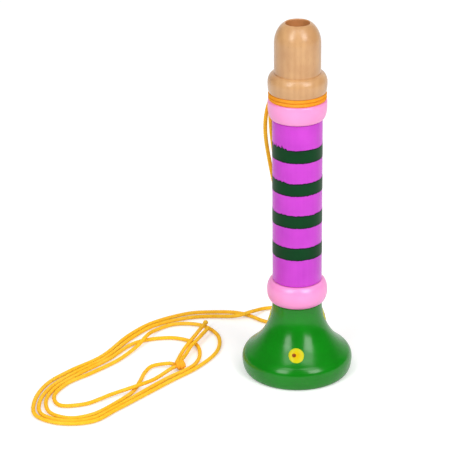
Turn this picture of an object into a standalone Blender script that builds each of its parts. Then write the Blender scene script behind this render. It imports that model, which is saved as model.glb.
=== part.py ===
# A turned wooden toy horn that stands on its bell, with a reed inside and a neck cord tied in a
# groove below the mouthpiece. Sizes are in metres. +Z runs up the horn's axis, z = 0 is the flat
# foot of the bell, and the front of the horn looks along -Y.

import math

import bmesh
import bpy
import numpy as np
from mathutils import Vector

# Gaps that keep neighbouring pieces apart
GLUE_GAP = 0.0003            # between faces that butt together
SPIGOT_CLEARANCE = 0.0003    # all round a spigot in its socket
REED_CLEARANCE = 0.0003      # between the pieces of the reed unit

# Heights of the turned pieces, from the floor up
BELL_HEIGHT = 0.0396
LOWER_RING_HEIGHT = 0.0119
TUBE_LENGTH = 0.0879         # between the two pink rings
UPPER_COLLAR_HEIGHT = 0.0101
BEAD_HEIGHT = 0.0090
DOME_HEIGHT = 0.0257

# Tube, its spigot joints and its painted bands
TUBE_DIAMETER = 0.0255
SOCKET_WALL = 0.0030         # tube wall left outside a socket
SPIGOT_WALL = 0.0040         # wood between a spigot's outside and the air bore
SPIGOT_DEPTH = 0.0110        # tube's lower spigot inside the bell
TENON_DEPTH = 0.0140         # mouthpiece tenon inside the tube
BAND_COUNT = 4
BAND_WIDTH = 0.00665
BAND_TOP_MARGIN = 0.0128     # plain tube above the top band
BAND_LOW_MARGIN = 0.0152     # plain tube below the last one

# Bell
BELL_DIAMETER = 0.0575
BELL_WIDEST_HEIGHT = 0.0073
FLARE_CURVE = 0.0315         # radius of the hollow curve under the neck
SHOULDER_CURVE = 0.0075      # radius of the swelling above the rim
FOOT_ROUND = 0.0028          # how far the rim draws in towards the foot
FOOT_WIDTH = 0.0030          # flat ring that it stands on
SOCKET_WEB = 0.0037          # wood between the bell's socket and its bowl

# Rings
NECK_STEP = 0.00015          # a ring's end and the bell's neck stand this far proud of the tube
RING_PROUD = 0.0029          # the lower ring's bead stands out from the tube
COLLAR_PROUD = 0.0022        # the upper collar stands out from the tube
COLLAR_TAPER = 0.0066        # height of the collar's curve down to the tube
COLLAR_EDGE = 0.0012         # round on the collar's top edge

# Mouthpiece; its neck has the tube's own diameter
DOME_INSET = 0.0010          # the dome is slimmer than the tube all round
DOME_ROUND = 0.0081          # how far the dome's curve draws in
DOME_ROUND_HEIGHT = 0.0123   # height over which it does so
BLOW_HOLE_DIAMETER = 0.0124
RIM_ROUND = 0.0007
BEAD_PROUD = 0.00225         # the bead stands out from the neck
BEAD_WIDEST = 0.0041         # height of the bead's widest line above the groove
BEAD_UNDER = 0.0011          # how far the bead draws in below that line
TENON_WALL = 0.0022          # wood left round the reed's seat
SEAT_DEPTH = 0.0090          # the reed's seat in the tenon

# Reed unit
HOLDER_HEIGHT = 0.0080
SHALLOT_DIAMETER = 0.0064
SHALLOT_HEIGHT = 0.0310
SHALLOT_FLAT = 0.0010        # the flat face lies this far in front of the axis
SHALLOT_BORE_DIAMETER = 0.0032
SHALLOT_BORE_BACK = 0.0010   # the bore's axis behind the horn's axis
SHALLOT_CAP = 0.0025         # closed end above the bore
SLOT_WIDTH = 0.0028
SLOT_MARGIN = 0.0030         # shallot face left below the slot
TONGUE_WIDTH = 0.0050
TONGUE_THICKNESS = 0.00035
TONGUE_LENGTH = 0.0225       # free length above the holder
TONGUE_ROOT = 0.0025         # clamped length
TONGUE_LIFT = 0.0009         # the curved tongue's tip stands off the face by this much
WEDGE_HEIGHT = 0.0070
WEDGE_PROUD = 0.0010         # wedge standing above the holder
CUT_MARGIN = 0.0005          # a cutting shape runs this far past the face it opens

# Cord
CORD_DIAMETER = 0.0019
TURN_GAP = 0.0005            # between neighbouring turns
CORD_CLEARANCE = 0.0003      # between cord and wood, and between cord ends
HITCH_ANGLE = math.radians(90)   # the hitch sits at the back
BIGHT_RADIUS = 0.0040        # bend of the loop that holds both strands
CLIMB_START = 0.026          # before the bight, where a turn starts to climb out of the groove
CLIMB_RUN = 0.012
SPREAD_START = 0.020         # before the bight, where it starts to spread outside the strands
SPREAD_RUN = 0.011
CORD_LIE = 0.0012            # height of the cord's middle where it lies on the floor
KNOT_CENTRE = (-0.0622, -0.0039)
KNOT_LENGTH = 0.0070
KNOT_WIDTH = 0.0052
KNOT_HEIGHT = 0.0052

SEGMENTS = 40                # facets round a turned piece
SMALL_SEGMENTS = 24          # facets round a reed piece
STRAND_POINTS = 80           # points along a strand
TURN_POINTS = 30             # points round one turn of the hitch
TAIL_POINTS = 14
END_SAMPLES = 30             # samples at a cord's end that are not measured against other cords
MILLIMETRE = 0.001

# The strands, in millimetres: first the drop behind the horn, then two loose loops on the floor.
# Where one strand crosses over another it rises in a long low hump.
OUTER_DROP = [(-7.6, 15.5, 153.6), (-10.8, 18.1, 149.8), (-13.1, 19.4, 144.6), (-15.1, 19.8, 138.9),
              (-16.2, 20.2, 132.8), (-16.5, 20.8, 127.4), (-16.1, 21.9, 119.6), (-13.8, 24.2, 104),
              (-10.2, 28.4, 83), (-5.6, 36.6, 51.5), (-1.6, 48.5, 22), (-0.6, 58, 7.8), (-3.4, 66.6, 1.8)]
OUTER_LOOPS = [(-10, 70.4, 1.2), (-17.5, 69, 1.4), (-25.8, 59.4, 3.7), (-33.4, 58, 2), (-48, 58.9, 1.2),
               (-60, 56.9, 1.2), (-78.5, 46.6, 1.2), (-89.3, 32.2, 1.2), (-102.4, 7, 1.2),
               (-117.1, -10.3, 1.2), (-126.6, -24.6, 1.2), (-131.2, -40.6, 1.2), (-129, -55.4, 1.2),
               (-117.4, -62.2, 1.2), (-103.8, -60.2, 1.2), (-92.8, -48.2, 1.2), (-68, -16.3, 1.2),
               (-54.3, -0.3, 1.2), (-51.8, 13, 1.2), (-55.2, 25.4, 1.2), (-66, 31.6, 1.2), (-79, 30, 1.2),
               (-88.4, 24.4, 1.2), (-100.4, 5.5, 1.2), (-114.1, -11.1, 1.2), (-124.5, -26.2, 1.2),
               (-128.2, -40.9, 1.2), (-124.4, -54.4, 1.2), (-114, -59.6, 1.2), (-103.1, -55.6, 1.2),
               (-92.1, -43, 1.2), (-84.5, -30.9, 1.2), (-81.4, -18.5, 1.2), (-79.6, -9, 1.2),
               (-76.2, -2.6, 1.6)]
INNER_DROP = [(-7.5, 14.05, 151.55), (-10.8, 15, 150.3), (-13.1, 16.3, 146), (-13.8, 16.8, 137.5),
              (-13.4, 17.6, 127), (-12.2, 19.4, 115), (-10, 22.5, 98), (-7.4, 27, 73), (-5.2, 34, 42),
              (-4, 41.5, 13.5), (-5.6, 45.6, 4)]
INNER_LOOPS = [(-10, 49.6, 1.3), (-18.5, 53.2, 1.2), (-25.8, 59.5, 1.2), (-34, 63.8, 1.2),
               (-49, 64.3, 1.2), (-60, 62.5, 1.2), (-79.5, 50.2, 1.2), (-91.1, 35, 1.2),
               (-104.2, 8.8, 1.2), (-119.7, -8.3, 1.2), (-129.6, -22.6, 1.2), (-134, -41, 1.2),
               (-131.6, -57, 1.2), (-119, -64.9, 1.2), (-102.7, -63.1, 1.2), (-90.5, -49.2, 1.2),
               (-65.5, -18.6, 1.2), (-52.2, -2.7, 1.2), (-42.6, 16.5, 1.2), (-43.2, 35.6, 1.2),
               (-53, 47.8, 1.2), (-67, 48.8, 1.2), (-77, 40.7, 1.5), (-81.3, 28.7, 3.8),
               (-85.2, 21.2, 2.1), (-95, 4.8, 1.2), (-107.8, -10.1, 1.2), (-119.1, -21.8, 1.2),
               (-124.6, -36.1, 1.2), (-120.6, -46, 1.2), (-108, -44.6, 1.2), (-94.9, -35.3, 2),
               (-82.5, -29.6, 3.9), (-74.3, -20.5, 2.9)]
TAIL_LEFT_ROUTE = [(-61.7, 8, 3), (-59.8, 14.8, 3.6), (-57.6, 21.2, 4), (-54.3, 32.3, 3.7),
                   (-51.1, 41.8, 4), (-49.9, 45.6, 3.9)]
TAIL_RIGHT_ROUTE = [(-58.9, 8.7, 3.1), (-56.8, 16, 3.9), (-54.6, 21.7, 4), (-51.1, 31.5, 3.7),
                    (-49.1, 36.5, 3.9), (-48.3, 38.7, 3.9)]
# Where each cord meets the knot, seen from above, anticlockwise from +X
OUTER_KNOT_ANGLE = math.radians(158)
INNER_KNOT_ANGLE = math.radians(226)
TAIL_LEFT_ANGLE = math.radians(108)
TAIL_RIGHT_ANGLE = math.radians(70)

# Heights where the pieces meet
BELL_TOP = BELL_HEIGHT
RING_LOW = BELL_TOP + GLUE_GAP
RING_TOP = RING_LOW + LOWER_RING_HEIGHT
TUBE_LOW = RING_TOP + GLUE_GAP
TUBE_TOP = TUBE_LOW + TUBE_LENGTH
COLLAR_LOW = TUBE_TOP + GLUE_GAP
COLLAR_TOP = COLLAR_LOW + UPPER_COLLAR_HEIGHT
NECK_LOW = COLLAR_TOP + GLUE_GAP
GROOVE_TOP = COLLAR_TOP + 2 * CORD_DIAMETER + TURN_GAP + 2 * CORD_CLEARANCE
BEAD_TOP = GROOVE_TOP + BEAD_HEIGHT
HORN_TOP = BEAD_TOP + DOME_HEIGHT

# Radii that several pieces share
TUBE_RADIUS = TUBE_DIAMETER / 2
SOCKET_RADIUS = TUBE_RADIUS - SOCKET_WALL
SPIGOT_RADIUS = SOCKET_RADIUS - SPIGOT_CLEARANCE
AIR_BORE_RADIUS = SPIGOT_RADIUS - SPIGOT_WALL
BELL_SOCKET_LOW = BELL_TOP - SPIGOT_DEPTH
SPIGOT_LOW = BELL_SOCKET_LOW + GLUE_GAP
TUBE_SOCKET_LOW = TUBE_TOP - TENON_DEPTH
TENON_LOW = TUBE_SOCKET_LOW + GLUE_GAP
SEAT_RADIUS = SPIGOT_RADIUS - TENON_WALL
SEAT_TOP = TENON_LOW + SEAT_DEPTH

# Reed unit levels
HOLDER_TOP = SEAT_TOP - REED_CLEARANCE
HOLDER_LOW = HOLDER_TOP - HOLDER_HEIGHT
SHALLOT_RADIUS = SHALLOT_DIAMETER / 2
HOLDER_HOLE_RADIUS = SHALLOT_RADIUS + REED_CLEARANCE
SHALLOT_TOP = HOLDER_LOW + SHALLOT_HEIGHT

# Cord levels in the groove
CORD_RADIUS = CORD_DIAMETER / 2
TURN_PITCH = CORD_DIAMETER + TURN_GAP
TURN_RADIUS = TUBE_RADIUS + CORD_CLEARANCE + CORD_RADIUS
GROOVE_MIDDLE = (COLLAR_TOP + GROOVE_TOP) / 2
KNOT_LEVEL = CORD_LIE - CORD_RADIUS + KNOT_HEIGHT / 2


def clear_scene():
    for item in list(bpy.data.objects):
        bpy.data.objects.remove(item, do_unlink=True)


def linear(channel):
    return channel / 12.92 if channel <= 0.04045 else ((channel + 0.055) / 1.055) ** 2.4


def make_material(name, red, green, blue, roughness, metallic=0.0):
    material = bpy.data.materials.new(name)
    material.use_nodes = True
    shader = material.node_tree.nodes["Principled BSDF"]
    colour = [linear(value / 255) for value in (red, green, blue)] + [1.0]
    shader.inputs["Base Color"].default_value = colour
    shader.inputs["Roughness"].default_value = roughness
    shader.inputs["Metallic"].default_value = metallic
    material.diffuse_color = colour
    return material


def add_empty(name, location=(0, 0, 0)):
    empty = bpy.data.objects.new(name, None)
    empty.location = location
    bpy.context.scene.collection.objects.link(empty)
    return empty


def add_mesh(name, bm, material, parent=None, location=(0, 0, 0)):
    bmesh.ops.remove_doubles(bm, verts=bm.verts, dist=1e-7)
    bmesh.ops.recalc_face_normals(bm, faces=bm.faces)
    mesh = bpy.data.meshes.new(name)
    bm.to_mesh(mesh)
    bm.free()
    mesh.materials.append(material)
    mesh.shade_smooth()
    mesh.set_sharp_from_angle(angle=math.radians(35))
    piece = bpy.data.objects.new(name, mesh)
    piece.location = location
    piece.parent = parent
    bpy.context.scene.collection.objects.link(piece)
    return piece


def oval_arc(centre_r, centre_z, reach_r, reach_z, start_deg, end_deg, count):
    angles = [math.radians(start_deg + (end_deg - start_deg) * i / (count - 1)) for i in range(count)]
    return [(centre_r + reach_r * math.cos(a), centre_z + reach_z * math.sin(a)) for a in angles]


def turned(profile, segments=SEGMENTS):
    # A closed outline of (radius, height) points, spun once round the Z axis
    bm = bmesh.new()
    verts = [bm.verts.new((r, 0, z)) for r, z in profile]
    edges = [bm.edges.new((verts[i], verts[(i + 1) % len(verts)])) for i in range(len(verts))]
    bmesh.ops.spin(bm, geom=verts + edges, cent=(0, 0, 0), axis=(0, 0, 1), dvec=(0, 0, 0),
                   angle=2 * math.pi, steps=segments, use_merge=True)
    return bm


def extruded(outline, direction):
    # A flat outline of 3-D points, drawn out along a direction
    bm = bmesh.new()
    face = bm.faces.new([bm.verts.new(point) for point in outline])
    moved = bmesh.ops.extrude_face_region(bm, geom=[face])
    verts = [item for item in moved["geom"] if isinstance(item, bmesh.types.BMVert)]
    bmesh.ops.translate(bm, verts=verts, vec=direction)
    return bm


def cut(piece, bm, name, material):
    cutter = add_mesh(name, bm, material, piece.parent)
    cutter.hide_render = True
    cutter.display_type = "WIRE"
    boolean = piece.modifiers.new(name, "BOOLEAN")
    boolean.operation = "DIFFERENCE"
    boolean.solver = "EXACT"
    boolean.object = cutter


def mouthpiece(material, parent):
    hole = BLOW_HOLE_DIAMETER / 2
    dome, bead = TUBE_RADIUS - DOME_INSET, TUBE_RADIUS + BEAD_PROUD
    rim = hole + RIM_ROUND
    curve_centre = dome - DOME_ROUND
    rim_angle = math.degrees(math.acos(min(1.0, max(0.0, (rim - curve_centre) / DOME_ROUND))))
    curve_z = HORN_TOP - DOME_ROUND_HEIGHT * math.sin(math.radians(rim_angle))
    widest = GROOVE_TOP + BEAD_WIDEST
    profile = oval_arc(rim, HORN_TOP - RIM_ROUND, RIM_ROUND, RIM_ROUND, 180, 115, 3)
    profile += oval_arc(curve_centre, curve_z, DOME_ROUND, DOME_ROUND_HEIGHT, rim_angle, 0, 8)
    profile += oval_arc(dome, widest, bead - dome, BEAD_TOP - widest, 90, 0, 6)
    profile += oval_arc(bead - BEAD_UNDER, widest, BEAD_UNDER, BEAD_WIDEST, 0, -90, 6)[1:]
    profile += [(TUBE_RADIUS, GROOVE_TOP), (TUBE_RADIUS, NECK_LOW)]
    profile += [(SPIGOT_RADIUS, NECK_LOW), (SPIGOT_RADIUS, TENON_LOW)]
    profile += [(SEAT_RADIUS, TENON_LOW), (SEAT_RADIUS, SEAT_TOP), (hole, SEAT_TOP)]
    add_mesh("mouthpiece", turned(profile), material, parent)


def upper_collar(material, parent):
    outer = TUBE_RADIUS + COLLAR_PROUD
    bulge = COLLAR_PROUD - NECK_STEP
    edge_z = COLLAR_TOP - COLLAR_EDGE
    profile = [(SOCKET_RADIUS, COLLAR_TOP)]
    profile += oval_arc(outer - COLLAR_EDGE, edge_z, COLLAR_EDGE, COLLAR_EDGE, 90, 0, 4)
    profile += oval_arc(outer - bulge, COLLAR_LOW + COLLAR_TAPER, bulge, COLLAR_TAPER, 0, -90, 6)
    profile += [(SOCKET_RADIUS, COLLAR_LOW)]
    add_mesh("upper_collar", turned(profile), material, parent)


def band_edges():
    # Upper and lower edge of each painted band, from the top down
    step = (TUBE_LENGTH - BAND_TOP_MARGIN - BAND_LOW_MARGIN - BAND_WIDTH) / (BAND_COUNT - 1)
    tops = [TUBE_TOP - BAND_TOP_MARGIN - i * step for i in range(BAND_COUNT)]
    return [(top, top - BAND_WIDTH) for top in tops]


def body_tube(material, band_material, parent):
    profile = [(SOCKET_RADIUS, TUBE_TOP), (TUBE_RADIUS, TUBE_TOP)]
    profile += [(TUBE_RADIUS, edge) for band in band_edges() for edge in band]
    profile += [(TUBE_RADIUS, TUBE_LOW), (SPIGOT_RADIUS, TUBE_LOW), (SPIGOT_RADIUS, SPIGOT_LOW)]
    profile += [(AIR_BORE_RADIUS, SPIGOT_LOW), (AIR_BORE_RADIUS, TUBE_SOCKET_LOW)]
    profile += [(SOCKET_RADIUS, TUBE_SOCKET_LOW)]
    tube = add_mesh("body_tube", turned(profile), material, parent)
    tube.data.materials.append(band_material)
    for face in tube.data.polygons:
        on_outside = math.hypot(face.center.x, face.center.y) > (TUBE_RADIUS + SOCKET_RADIUS) / 2
        in_band = any(low < face.center.z < high for high, low in band_edges())
        face.material_index = 1 if on_outside and in_band else 0


def lower_ring(material, parent):
    base = TUBE_RADIUS + NECK_STEP
    middle = (RING_TOP + RING_LOW) / 2
    half = LOWER_RING_HEIGHT / 2
    profile = [(SOCKET_RADIUS, RING_TOP)]
    profile += oval_arc(base, middle, RING_PROUD - NECK_STEP, half, 90, -90, 11)
    profile += [(SOCKET_RADIUS, RING_LOW)]
    add_mesh("lower_ring", turned(profile), material, parent)


def bell(material, parent):
    outer, neck = BELL_DIAMETER / 2, TUBE_RADIUS + NECK_STEP
    foot = outer - FOOT_ROUND
    mouth = foot - FOOT_WIDTH
    # The hollow flare and the swelling shoulder touch without a corner
    across = neck + FLARE_CURVE - outer + SHOULDER_CURVE
    span = FLARE_CURVE + SHOULDER_CURVE
    flare_z = BELL_WIDEST_HEIGHT + math.sqrt(span * span - across * across)
    meet_deg = math.degrees(math.acos(across / span))
    first_deg = math.degrees(math.asin(max(0.0, flare_z - BELL_TOP) / FLARE_CURVE))
    profile = [(SOCKET_RADIUS, BELL_TOP)]
    if flare_z < BELL_TOP - GLUE_GAP:
        profile += [(neck, BELL_TOP)]
    profile += oval_arc(neck + FLARE_CURVE, flare_z, FLARE_CURVE, FLARE_CURVE,
                        180 + first_deg, 180 + meet_deg, 9)
    profile += oval_arc(outer - SHOULDER_CURVE, BELL_WIDEST_HEIGHT, SHOULDER_CURVE, SHOULDER_CURVE,
                        meet_deg, 0, 6)[1:]
    profile += oval_arc(foot, BELL_WIDEST_HEIGHT, FOOT_ROUND, BELL_WIDEST_HEIGHT, 0, -90, 6)[1:]
    bowl_top = BELL_SOCKET_LOW - SOCKET_WEB
    profile += oval_arc(AIR_BORE_RADIUS, 0, mouth - AIR_BORE_RADIUS, bowl_top, 0, 90, 8)
    profile += [(AIR_BORE_RADIUS, BELL_SOCKET_LOW), (SOCKET_RADIUS, BELL_SOCKET_LOW)]
    add_mesh("bell", turned(profile), material, parent)


def reed_holder(material, parent):
    outer = SEAT_RADIUS - REED_CLEARANCE
    profile = [(HOLDER_HOLE_RADIUS, HOLDER_TOP), (outer, HOLDER_TOP)]
    profile += [(outer, HOLDER_LOW), (HOLDER_HOLE_RADIUS, HOLDER_LOW)]
    add_mesh("reed_holder", turned(profile, SMALL_SEGMENTS), material, parent)


def disc_part(radius, flat_y, z, behind):
    # Outline of the part of a disc that lies behind the line y = flat_y, or in front of it
    start = math.asin(flat_y / radius)
    sweep = math.pi - 2 * start if behind else -(math.pi + 2 * start)
    count = round(SMALL_SEGMENTS * abs(sweep) / (2 * math.pi)) + 1
    angles = [start + sweep * i / (count - 1) for i in range(count)]
    return [(radius * math.cos(a), radius * math.sin(a), z) for a in angles]


def reed_shallot(material, parent):
    outline = disc_part(SHALLOT_RADIUS, -SHALLOT_FLAT, HOLDER_LOW, True)
    shallot = add_mesh("reed_shallot", extruded(outline, (0, 0, SHALLOT_HEIGHT)), material, parent)
    bore_top = SHALLOT_TOP - SHALLOT_CAP
    bore_low = HOLDER_LOW - CUT_MARGIN
    radius = SHALLOT_BORE_DIAMETER / 2
    ring = [2 * math.pi * i / SMALL_SEGMENTS for i in range(SMALL_SEGMENTS)]
    circle = [(radius * math.cos(a), SHALLOT_BORE_BACK + radius * math.sin(a), bore_low) for a in ring]
    bore = extruded(circle, (0, 0, bore_top - bore_low))
    cut(shallot, bore, "shallot_bore_cutter", material)
    half, front = SLOT_WIDTH / 2, -SHALLOT_FLAT - CUT_MARGIN
    slot_low, slot_top = HOLDER_TOP + SLOT_MARGIN, bore_top - CUT_MARGIN
    corners = [(-half, front, slot_low), (half, front, slot_low),
               (half, front, slot_top), (-half, front, slot_top)]
    slot = extruded(corners, (0, SHALLOT_BORE_BACK - front, 0))
    cut(shallot, slot, "shallot_slot_cutter", material)


def reed_tongue(material, parent):
    # A thin strip, curved away from the shallot's face; its pivot is where the holder lets it go
    steps = [i / 6 for i in range(7)]
    face = TONGUE_THICKNESS / 2
    inner = [(face - TONGUE_LIFT * t * t, TONGUE_LENGTH * t) for t in steps]
    inner = [(face, -TONGUE_ROOT)] + inner
    outline = inner + [(y - TONGUE_THICKNESS, z) for y, z in reversed(inner)]
    half = TONGUE_WIDTH / 2
    bm = extruded([(-half, y, z) for y, z in outline], (TONGUE_WIDTH, 0, 0))
    add_mesh("reed_tongue", bm, material, parent)


def reed_wedge(material, parent):
    # Half-round sliver that pinches the tongue's root in the holder
    front_of_tongue = SHALLOT_FLAT + 2 * REED_CLEARANCE + TONGUE_THICKNESS
    low = HOLDER_TOP + WEDGE_PROUD - WEDGE_HEIGHT
    outline = disc_part(SHALLOT_RADIUS, -front_of_tongue, low, False)
    add_mesh("reed_wedge", extruded(outline, (0, 0, WEDGE_HEIGHT)), material, parent)


def smooth_curve(points, per_span=24):
    # Centripetal curve through every point, returned as closely spaced samples
    points = [np.array(p, dtype=float) for p in points]
    points = [2 * points[0] - points[1]] + points + [2 * points[-1] - points[-2]]
    samples = []
    for p0, p1, p2, p3 in zip(points, points[1:], points[2:], points[3:]):
        t0 = 0.0
        t1 = t0 + math.sqrt(np.linalg.norm(p1 - p0))
        t2 = t1 + math.sqrt(np.linalg.norm(p2 - p1))
        t3 = t2 + math.sqrt(np.linalg.norm(p3 - p2))
        for i in range(per_span):
            t = t1 + (t2 - t1) * i / per_span
            a1 = (t1 - t) / (t1 - t0) * p0 + (t - t0) / (t1 - t0) * p1
            a2 = (t2 - t) / (t2 - t1) * p1 + (t - t1) / (t2 - t1) * p2
            a3 = (t3 - t) / (t3 - t2) * p2 + (t - t2) / (t3 - t2) * p3
            b1 = (t2 - t) / (t2 - t0) * a1 + (t - t0) / (t2 - t0) * a2
            b2 = (t3 - t) / (t3 - t1) * a2 + (t - t1) / (t3 - t1) * a3
            samples.append((t2 - t) / (t2 - t1) * b1 + (t - t1) / (t2 - t1) * b2)
    samples.append(points[-2])
    return np.array(samples)


def spread(samples, count):
    # Fewer points, closer together where the curve bends
    steps = np.diff(samples, axis=0)
    lengths = np.linalg.norm(steps, axis=1)
    heading = steps / lengths[:, None]
    turn = np.arccos(np.clip((heading[1:] * heading[:-1]).sum(axis=1), -1, 1))
    weight = lengths / lengths.sum()
    weight[1:] += turn / turn.sum()
    along = np.concatenate([[0], np.cumsum(weight)])
    wanted = np.linspace(0, along[-1], count)
    return np.stack([np.interp(wanted, along, samples[:, k]) for k in range(3)], axis=1)


def run_length(samples):
    return float(np.linalg.norm(np.diff(samples, axis=0), axis=1).sum())


def least_gap(samples, others=None):
    # Least gap between the skins of two tubes, or of one tube and its own far stretches
    if others is None:
        along = np.concatenate([[0], np.cumsum(np.linalg.norm(np.diff(samples, axis=0), axis=1))])
        apart = np.abs(along[:, None] - along[None, :]) > 6 * CORD_DIAMETER
        others = samples
    else:
        # the cords' own ends, which face each other, are left out
        samples, others = samples[END_SAMPLES:-END_SAMPLES], others[END_SAMPLES:-END_SAMPLES]
        apart = np.ones((len(samples), len(others)), dtype=bool)
    distance = np.linalg.norm(samples[:, None, :] - others[None, :, :], axis=2)
    return float(distance[apart].min()) - CORD_DIAMETER


def add_cord(name, points, material, parent, resolution=2):
    curve = bpy.data.curves.new(name, "CURVE")
    curve.dimensions = "3D"
    curve.bevel_depth = CORD_RADIUS
    curve.bevel_resolution = resolution
    curve.use_fill_caps = True
    spline = curve.splines.new("POLY")
    spline.points.add(len(points) - 1)
    for target, point in zip(spline.points, points):
        target.co = (*point, 1.0)
    curve.materials.append(material)
    cord = bpy.data.objects.new(name, curve)
    cord.parent = parent
    bpy.context.scene.collection.objects.link(cord)


def ease(value):
    value = min(1.0, max(0.0, value))
    return value * value * (3 - 2 * value)


def hitch_point(arc_length, radius, height):
    angle = HITCH_ANGLE + arc_length / TURN_RADIUS
    return (radius * math.cos(angle), radius * math.sin(angle), height)


def standing_point(distance, side):
    # A point on the straight line along which a strand leaves the groove
    start = Vector(hitch_point(0, TURN_RADIUS, GROOVE_MIDDLE + side * TURN_PITCH / 2))
    heading = Vector((-math.sin(HITCH_ANGLE), math.cos(HITCH_ANGLE), 0))
    return tuple(start + heading * distance)


def hitch_turn(side):
    # One turn, from the strand's end back round the neck to the bight; side is +1 above, -1 below.
    # Near the bight the turn climbs out of the groove, then spreads to pass outside the strands.
    level = TURN_PITCH / 2
    round_neck = 2 * math.pi * TURN_RADIUS
    points = [standing_point(CORD_DIAMETER, side), standing_point(CORD_DIAMETER / 2, side)]
    for i in range(TURN_POINTS + 1):
        distance = round_neck * i / TURN_POINTS
        left = round_neck - distance
        radius = TURN_RADIUS + TURN_PITCH * ease((CLIMB_START - left) / CLIMB_RUN)
        height = level + (BIGHT_RADIUS - level) * ease((SPREAD_START - left) / SPREAD_RUN)
        points.append(hitch_point(-distance, radius, GROOVE_MIDDLE + side * height))
    return points


def neck_hitch(material, parent):
    # Both turns and the bight over the strands, as one unbroken cord, and the points along it
    raised = TURN_RADIUS + TURN_PITCH
    bends = [math.pi * i / 8 for i in range(1, 8)]
    bight = [hitch_point(-BIGHT_RADIUS * math.sin(a), raised, GROOVE_MIDDLE + BIGHT_RADIUS * math.cos(a))
             for a in bends]
    points = np.array(hitch_turn(1) + bight + hitch_turn(-1)[::-1])
    add_cord("cord_neck_hitch", points, material, parent, 1)
    return smooth_curve(points, 6)


def knot_point(angle, distance):
    # A point straight out from the knot's side, a distance from its surface
    heading = np.array((math.cos(angle), math.sin(angle), 0.0))
    reach = 1 / math.hypot(heading[0] / (KNOT_LENGTH / 2), heading[1] / (KNOT_WIDTH / 2))
    return tuple(np.array((*KNOT_CENTRE, KNOT_LEVEL)) + heading * (reach + distance))


def strand(name, side, route, knot_angle, material, parent):
    points = [standing_point(CORD_DIAMETER + CORD_CLEARANCE, side), standing_point(2 * CORD_DIAMETER, side)]
    points += [tuple(MILLIMETRE * v for v in point) for point in route]
    points += [knot_point(knot_angle, CORD_DIAMETER), knot_point(knot_angle, CORD_CLEARANCE)]
    samples = smooth_curve(points)
    samples[:, 2] = np.maximum(samples[:, 2], CORD_LIE)
    add_cord(name, spread(samples, STRAND_POINTS), material, parent)
    return samples


def tail(name, knot_angle, route, material, parent):
    points = [knot_point(knot_angle, CORD_CLEARANCE), knot_point(knot_angle, CORD_DIAMETER)]
    samples = smooth_curve(points + [tuple(MILLIMETRE * v for v in point) for point in route])
    add_cord(name, spread(samples, TAIL_POINTS), material, parent)
    return samples


def print_cords(runs):
    for name, samples in runs.items():
        own_gap = least_gap(samples) / MILLIMETRE
        print(f"{name}: length {run_length(samples):.4f} m, least gap to itself {own_gap:.2f} mm")
        for other, far in runs.items():
            if other > name:
                print(f"    least gap to {other} {least_gap(samples, far) / MILLIMETRE:.2f} mm")


def end_knot(material, parent):
    bm = bmesh.new()
    bmesh.ops.create_uvsphere(bm, u_segments=16, v_segments=8, radius=0.5)
    bmesh.ops.scale(bm, verts=bm.verts, vec=(KNOT_LENGTH, KNOT_WIDTH, KNOT_HEIGHT))
    add_mesh("cord_end_knot", bm, material, parent, (*KNOT_CENTRE, KNOT_LEVEL))


def build():
    clear_scene()
    wood = make_material("bare_beech", 222, 176, 127, 0.45)
    pink = make_material("pink_enamel", 253, 170, 228, 0.15)
    purple = make_material("purple_enamel", 214, 72, 216, 0.2)
    band_green = make_material("dark_green_enamel", 19, 70, 38, 0.25)
    bell_green = make_material("green_enamel", 30, 135, 38, 0.12)
    plastic = make_material("reed_plastic", 226, 222, 208, 0.4)
    film = make_material("reed_film", 240, 236, 224, 0.3)
    yarn = make_material("yellow_cord", 248, 182, 52, 0.8)

    horn = add_empty("horn_axis")
    mouthpiece(wood, horn)
    upper_collar(pink, horn)
    body_tube(purple, band_green, horn)
    lower_ring(pink, horn)
    bell(bell_green, horn)
    reed_holder(plastic, horn)
    reed_shallot(plastic, horn)
    reed_wedge(plastic, horn)
    tongue_middle = -SHALLOT_FLAT - REED_CLEARANCE - TONGUE_THICKNESS / 2
    reed_tongue(film, add_empty("reed_pivot", (0, tongue_middle, HOLDER_TOP)))

    swivel = add_empty("cord_swivel")
    runs = {"cord_neck_hitch": neck_hitch(yarn, swivel)}
    strands = [("cord_strand_outer", 1, OUTER_DROP + OUTER_LOOPS, OUTER_KNOT_ANGLE),
               ("cord_strand_inner", -1, INNER_DROP + INNER_LOOPS, INNER_KNOT_ANGLE)]
    for name, side, route, angle in strands:
        runs[name] = strand(name, side, route, angle, yarn, swivel)
    end_knot(yarn, swivel)
    tails = [("cord_tail_left", TAIL_LEFT_ANGLE, TAIL_LEFT_ROUTE),
             ("cord_tail_right", TAIL_RIGHT_ANGLE, TAIL_RIGHT_ROUTE)]
    for name, angle, route in tails:
        runs[name] = tail(name, angle, route, yarn, swivel)
    print_cords(runs)


build()
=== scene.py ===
import math

import bmesh
import bpy
import numpy as np
from mathutils import Matrix, Vector


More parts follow.
